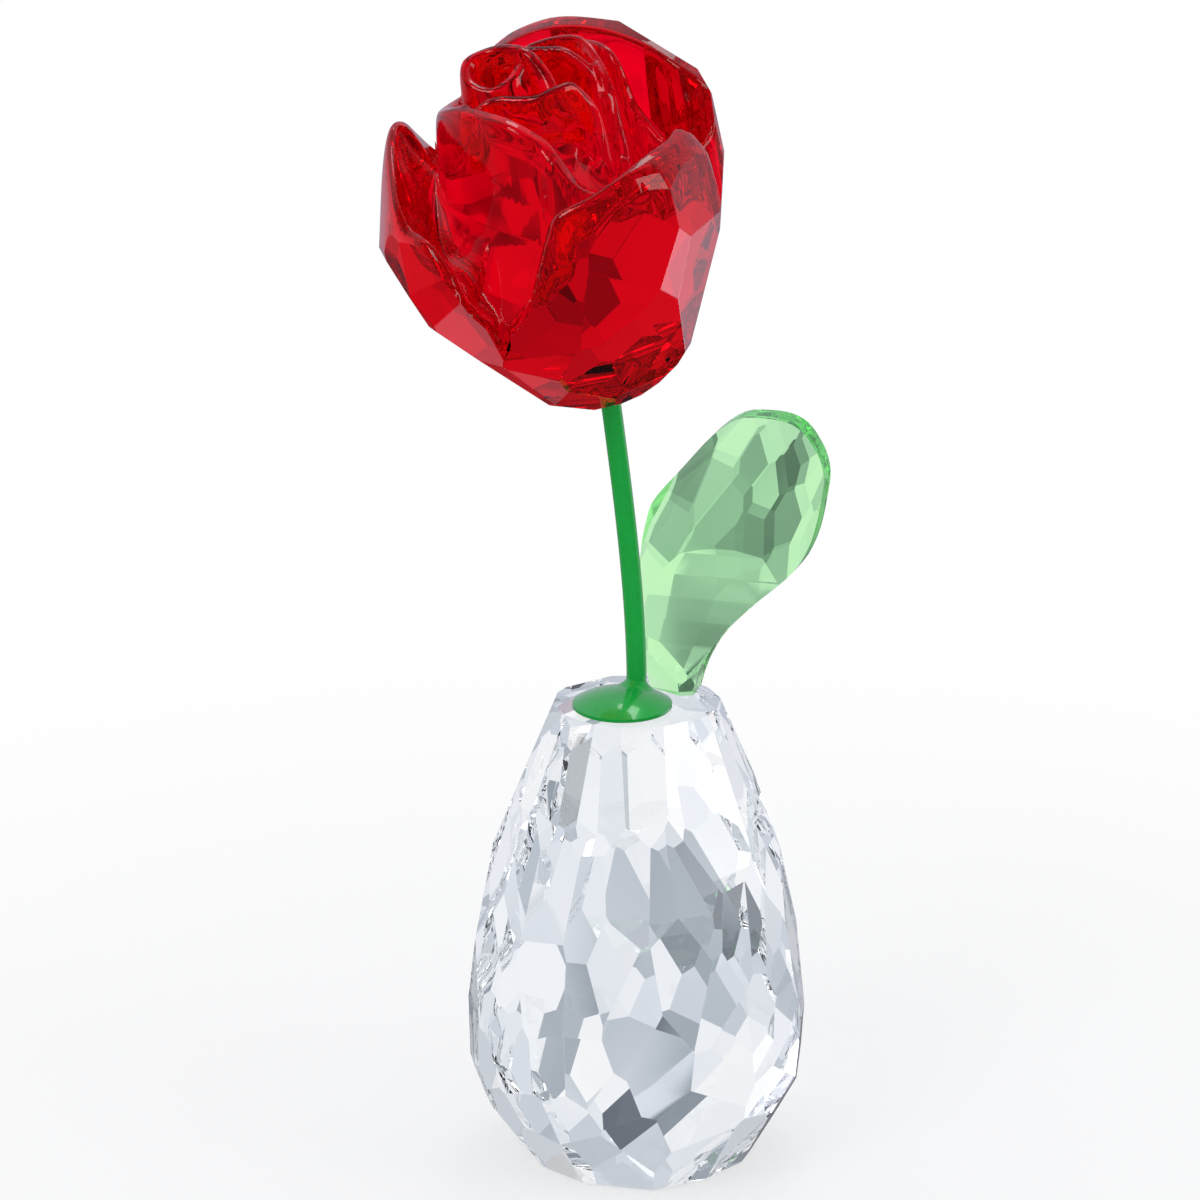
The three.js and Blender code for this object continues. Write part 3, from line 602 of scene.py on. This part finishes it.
# The rose's outside facets, as the solid has them: (turn, tilt) in degrees, tangent to a long round body, or
# cut deeper than it by a third number in millimetres. A number below zero leaves the stone fuller there.
ROSE_ROWS = {
    "front_top": [(-86, 13, 0.4), (-60, -4, 1.3), (-26, -2, 0.7)],
    "front": [(-83, -2, 0.9), (-64, -9, 1.3), (-40, -15, 1.1), (-28, -18, 1.3), (-94, -10, 1.2)],
    "front_low": [(-78, -14, 0.8), (-50, -24, 1.2), (-57, -28, 1.2), (-79, -33, 0.8), (-95, -25, 0.7)],
    "left": [
        (-166, 38, 1.2), (-172, 28, 0.9), (-169, 1, 0.8), (-151, 14, 0.5), (-152, 6, 0.7), (-139, 8, 0.7),
        (-132, -5, 0.6), (-125, -14, 0.7), (-148, -16, 0.7),
    ],
    "rim": [
        (28, 41, -1.2), (12, 16, -1.9), (-8, 2, 0.1), (38, 6, -0.6), (62, 10), (86, 6), (110, 9),
        (134, 6), (157, 9),
    ],
    "back_side": [
        (-3, -14, 0.6), (26, -4), (48, -9), (72, -5), (96, -10), (119, -6), (142, -9), (166, -5),
    ],
    "low_back": [
        (-8, -24, 0.9), (-19, -39, -0.5), (16, -26, 0.4), (38, -22), (60, -27), (84, -22), (108, -28),
        (132, -22), (155, -27, 0.6), (176, -24, 1.2), (-165, -18, 1.8),
    ],
    "under": [
        (-104, -36, 0.5), (-91, -43, 0.2), (-60, -45, -0.3), (-130, -38, 1), (-152, -38, 2.3),
        (178, -44, 1.8), (150, -46, 0.8),
    ],
    "under_back": [(-31, -49, -1), (0, -46, -0.4), (36, -44), (66, -48), (96, -44), (124, -50)],
    "sole": [
        (-121, -57, -0.1), (-84, -63, -1), (-62, -61, -1.2), (-10, -64, -0.8), (50, -68), (110, -64),
        (170, -66), (0, -90),
    ],
}


def rose_planes():
    """The rose's facets and its flat top, as (a point, the normal)."""
    planes = [(Vector((0.0, 0.0, ROSE_TOP)), Vector((0.0, 0.0, 1.0)))]
    for row in ROSE_ROWS.values():
        for turn, tilt, *deeper in row:
            level, rise = math.cos(math.radians(tilt)), math.sin(math.radians(tilt))
            across, away = math.cos(math.radians(turn)), math.sin(math.radians(turn))
            normal = Vector((level * across, level * away, rise))
            distance = math.hypot(ROSE_RADIUS * level, ROSE_HALF_HEIGHT * rise) - sum(deeper)
            planes.append((distance * normal, normal))
    return planes


def cut_stone(planes, half, name):
    """A block bisected by each plane in turn, with the cut closed, which leaves the convex stone."""
    bpy.ops.mesh.primitive_cube_add(size=2 * half)
    stone = bpy.context.object
    stone.name = name
    only(stone)
    bpy.ops.object.mode_set(mode="EDIT")
    for point, normal in planes:
        bpy.ops.mesh.select_all(action="SELECT")
        bpy.ops.mesh.bisect(plane_co=point, plane_no=normal, use_fill=True, clear_outer=True)
    bpy.ops.object.mode_set(mode="OBJECT")
    return stone


def pressed_slug():
    """A block with the petals pressed into its top: a fine grid, raised by the petals' formula, then drawn
    down."""
    bpy.ops.mesh.primitive_grid_add(x_subdivisions=SLUG_CELLS, y_subdivisions=SLUG_CELLS, size=2 * SLUG_HALF)
    slug = bpy.context.object
    flat = np.zeros(len(slug.data.vertices) * 3, np.float32)
    slug.data.vertices.foreach_get("co", flat)
    places = flat.reshape(-1, 3).astype(float)
    places[:, 2] = petal_surface(places[:, 0], places[:, 1])
    slug.data.vertices.foreach_set("co", places.astype(np.float32).ravel())
    slug.data.update()
    only(slug)
    bpy.ops.object.mode_set(mode="EDIT")
    bpy.ops.mesh.select_mode(type="EDGE")
    bpy.ops.mesh.select_all(action="DESELECT")
    mesh = bmesh.from_edit_mesh(slug.data)
    for edge in mesh.edges:
        edge.select = edge.is_boundary
    mesh.select_flush_mode()
    bmesh.update_edit_mesh(slug.data)
    bpy.ops.mesh.extrude_edges_move(TRANSFORM_OT_translate={"value": (0.0, 0.0, SLUG_FLOOR)})
    bpy.ops.transform.resize(value=(1.0, 1.0, 0.0), center_override=(0.0, 0.0, SLUG_FLOOR))
    bpy.ops.mesh.edge_face_add()
    bpy.ops.object.mode_set(mode="OBJECT")
    faces_outward(slug)
    return slug


def boolean(piece, cutter, operation):
    """Keeps what the piece shares with another solid, or takes it away, and then removes that solid."""
    modifier = piece.modifiers.new("cut", "BOOLEAN")
    modifier.operation = operation
    modifier.solver = "MANIFOLD"
    modifier.object = cutter
    only(piece)
    bpy.ops.object.modifier_apply(modifier=modifier.name)
    bpy.data.objects.remove(cutter)


def rose(pressed, cut):
    """The rose head: petals pressed smooth on top, flat facets cut all round, and a socket for the rod."""
    stone = cut_stone(rose_planes(), 2 * SLUG_HALF, "rose_stone")
    ground_edges(stone, *ROSE_EDGE)
    slug = pressed_slug()
    for each, material in ((slug, pressed), (stone, cut)):
        each.data.materials.append(pressed)
        each.data.materials.append(cut)
        for face in each.data.polygons:
            face.material_index = 0 if material is pressed else 1
    boolean(slug, stone, "INTERSECT")
    slug.data.transform(bloom_frame)
    centre = rod_end + (SOCKET_GAP - SOCKET_DEPTH) * rod_away
    bpy.ops.mesh.primitive_cylinder_add(
        vertices=SOCKET_SIDES,
        radius=ROD_RADIUS + SOCKET_GAP,
        depth=2 * SOCKET_DEPTH,
        location=centre,
        rotation=Vector((0.0, 0.0, 1.0)).rotation_difference(rod_away).to_euler(),
    )
    socket = bpy.context.object
    bpy.ops.object.transform_apply(location=True, rotation=True, scale=True)
    socket.data.materials.append(pressed)
    boolean(slug, socket, "DIFFERENCE")
    faces_outward(slug)
    to_metres(slug)
    only(slug)
    bpy.ops.object.shade_smooth_by_angle(angle=math.radians(PETALS_SMOOTH))
    for face in slug.data.polygons:
        if face.material_index == 1:
            face.use_smooth = False
    finish_piece(slug, "rose_crystal", ["rose_head"])


# The studio: a pale floor, a surround that is white to the camera alone, and three soft lamps, in metres
FLOOR_HALF = 3.0
FLOOR_BELOW = 0.0002
FLOOR_COLOUR = (0.93, 0.935, 0.94, 1.0)
FLOOR_FADE_FROM, FLOOR_FADE_TO = 0.03, 0.16
FLOOR_FADE_AT_FIGURINE = 0.55
WHITE = (1.0, 1.0, 1.0, 1.0)
PLAIN_LIGHT = (0.75, 0.76, 0.78, 1.0)
MIRROR_LIGHT = (0.94, 0.96, 1.15, 1.0)
LAMPS_FACE = Vector((0.0, 0.0, 0.055))
# Each lamp's place, the length of its side and its brightness
LAMPS = {
    "key_lamp": ((-0.35, -0.45, 0.55), 0.30, 3.0),
    "fill_lamp": ((0.55, -0.25, 0.30), 0.25, 2.0),
    "top_lamp": ((0.05, 0.25, 0.65), 0.20, 3.0),
}
LIGHT_BOUNCES = 28

# Soft grey patches that crystal shows: how fine they are, where their pattern starts, and their tones
PATCH_SCALE = 1.6
PATCH_SHIFT = (0.0, 0.7, 0.3)
PATCH_TONES = [
    (0.31, (0.14, 0.16, 0.19)),
    (0.39, (0.43, 0.48, 0.53)),
    (0.47, (0.73, 0.77, 0.83)),
    (0.56, (0.92, 0.94, 0.97)),
    (0.66, (1.0, 1.0, 1.0)),
]
# Finer patches straight behind the figurine, as its thin parts show them, fading out away from there
FINE_SCALE = 5.6
FINE_DEPTH = 0.17
FINE_LIFT = 0.45
FINE_FROM, FINE_TO = 0.46, 0.56
STRAIGHT_BEHIND = (0.0, 0.94, -0.34)
FADE_FROM, FADE_TO = 0.25, 0.75

# What reflections show: a dark front, a lighter back above the floor, and cards round the figurine. A card
# has degrees to the right of straight behind the figurine, degrees above its level, half its width and
# height, how soft its edge is, and its light, where 1 is white.
HALF_TURN, FULL_TURN = 180.0, 360.0
FRONT_LIGHT = 0.04
BACK_LIGHT = 0.5
BACK_FROM, BACK_TO = -0.25, 0.35
ABOVE_FROM, ABOVE_TO = -0.5, -0.15
CARDS = [
    {"turn": 62, "tilt": -29, "wide": 14, "high": 7, "soft": 4, "light": 2.0},
    {"turn": 41, "tilt": -24, "wide": 8, "high": 6, "soft": 4, "light": 0.9},
    {"turn": 56, "tilt": -11, "wide": 10, "high": 4, "soft": 4, "light": 0.5},
    {"turn": -72, "tilt": -55, "wide": 14, "high": 6, "soft": 4, "light": 0.7},
    {"turn": -9, "tilt": -66, "wide": 25, "high": 6, "soft": 3, "light": 0.35},
]


def seen_through_crystal(nodes, towards):
    """White with soft grey patches, finer straight behind the figurine."""
    shifted = nodes.add("ShaderNodeVectorMath", {"operation": "ADD"}, {0: towards, 1: PATCH_SHIFT})
    broad = {"Vector": shifted, "Scale": PATCH_SCALE, "Detail": 2.0, "Roughness": 0.6}
    grey = nodes.add("ShaderNodeTexNoise", None, broad)
    fine = nodes.add("ShaderNodeTexNoise", None, {"Vector": shifted, "Scale": FINE_SCALE, "Detail": 0.0})
    darker = nodes.soft_step(fine, FINE_FROM, FINE_TO)
    off = nodes.add("ShaderNodeVectorMath", {"operation": "DISTANCE"}, {0: towards, 1: STRAIGHT_BEHIND}, 1)
    behind = nodes.soft_step(off, FADE_FROM, FADE_TO, 1.0, 0.0)
    tone = grey + behind * (FINE_LIFT - darker) * FINE_DEPTH
    return nodes.add("ShaderNodeValToRGB", {"stops": PATCH_TONES}, {0: tone})


def seen_in_reflections(nodes, towards):
    """The strength of the light that a mirror sees: a dark front, a lighter back, and the cards."""
    parts = nodes.add("ShaderNodeSeparateXYZ", None, {0: towards})
    depth, height = parts.other_output("Y"), parts.other_output("Z")
    turn = parts.math("ARCTAN2", depth) * (180 / math.pi)
    tilt = height.math("ARCSINE") * (180 / math.pi)
    behind = nodes.soft_step(depth, BACK_FROM, BACK_TO)
    above = nodes.soft_step(height, ABOVE_FROM, ABOVE_TO)
    light = behind * above * (BACK_LIGHT - FRONT_LIGHT) + FRONT_LIGHT
    for card in CARDS:
        light = light + card_mask(nodes, turn, tilt, card) * (card["light"] - light)
    return light


def card_mask(nodes, turn, tilt, card):
    """1 on the card, 0 off it, with a soft edge."""
    from_card = turn - card["turn"] + (FULL_TURN + HALF_TURN)
    aside = from_card.math("FLOORED_MODULO", FULL_TURN) - HALF_TURN
    masks = []
    for off, half in ((aside, card["wide"]), (tilt - card["tilt"], card["high"])):
        start, end = half - card["soft"], half + card["soft"]
        masks.append(nodes.soft_step(off.math("ABSOLUTE"), start, end, 1.0, 0.0))
    return masks[0] * masks[1]


def studio_world():
    """White to the camera, with its own surroundings for crystal and for reflections, and plain light for
    everything else."""
    world = bpy.data.worlds.new("studio")
    bpy.context.scene.world = world
    nodes = Nodes(world)
    path = nodes.add("ShaderNodeLightPath")
    towards = nodes.add("ShaderNodeTexCoord").other_output("Generated")
    plain = nodes.background(PLAIN_LIGHT)
    mirror = nodes.background(MIRROR_LIGHT, seen_in_reflections(nodes, towards))
    room = nodes.background(seen_through_crystal(nodes, towards))
    lit = nodes.mix_shader(path.other_output("Is Glossy Ray"), plain, mirror)
    inside = nodes.mix_shader(path.other_output("Is Transmission Ray"), lit, room)
    shown = nodes.mix_shader(path.other_output("Is Camera Ray"), inside, nodes.background(WHITE))
    nodes.add("ShaderNodeOutputWorld", None, {"Surface": shown})


def studio_floor():
    """A pale floor that keeps the soft shadow near the figurine and fades to the white surround."""
    bpy.ops.mesh.primitive_plane_add(size=2 * FLOOR_HALF, location=(0.0, 0.0, -FLOOR_BELOW))
    floor = bpy.context.object
    bpy.ops.object.transform_apply(location=True, rotation=True, scale=True)
    floor.name = "studio_floor"
    material = bpy.data.materials.new("pale_floor")
    nodes = Nodes(material)
    path = nodes.add("ShaderNodeLightPath")
    seen = path.other_output("Is Camera Ray")
    seen = seen.math("MAXIMUM", path.other_output("Is Glossy Ray"))
    seen = seen.math("MAXIMUM", path.other_output("Is Transmission Ray"))
    away = nodes.add("ShaderNodeVectorMath", {"operation": "LENGTH"}, {0: nodes.place()}, 1)
    fade = nodes.soft_step(away, FLOOR_FADE_FROM, FLOOR_FADE_TO, FLOOR_FADE_AT_FIGURINE, 1.0)
    surface = nodes.add("ShaderNodeBsdfDiffuse", None, {"Color": FLOOR_COLOUR})
    white = nodes.add("ShaderNodeEmission", None, {"Color": WHITE, "Strength": 1.0})
    nodes.add("ShaderNodeOutputMaterial", None, {"Surface": nodes.mix_shader(seen * fade, surface, white)})
    floor.data.materials.append(material)
    # Neither reflections nor crystal see the floor: the world holds other surroundings for them
    floor.visible_glossy = False
    floor.visible_transmission = False


def studio_lamps():
    """Square soft lamps that face the figurine. A lamp's power follows from its size and brightness."""
    for name, (place, size, brightness) in LAMPS.items():
        light = bpy.data.lights.new(name, "AREA")
        light.shape = "SQUARE"
        light.size = size
        light.energy = brightness * math.pi * size**2
        lamp = bpy.data.objects.new(name, light)
        bpy.context.scene.collection.objects.link(lamp)
        lamp.location = place
        lamp.rotation_euler = (Vector(place) - LAMPS_FACE).to_track_quat("Z", "Y").to_euler()


def light_paths():
    """Enough bounces for light to find its way out of the cut crystal."""
    cycles = bpy.context.scene.cycles
    cycles.max_bounces = LIGHT_BOUNCES
    cycles.transmission_bounces = LIGHT_BOUNCES
    cycles.glossy_bounces = LIGHT_BOUNCES


deselect()
add_camera()
studio_world()
studio_floor()
studio_lamps()
light_paths()
bpy.context.scene.view_settings.view_transform = "Standard"

vase(crystal("polished_clear_crystal", **CLEAR_CRYSTAL, mirrored=False))
leaf(crystal("pale_green_crystal", **GREEN_CRYSTAL, mirrored=False))
stem(green_lacquer())
rose(crystal("pressed_red_crystal", **RED_CRYSTAL), crystal("cut_red_crystal", **RED_CRYSTAL))
glue = clear_glue()
for film in ("foot_bond", "leaf_bond"):
    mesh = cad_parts[film].data
    mesh.materials.clear()
    mesh.materials.append(glue)
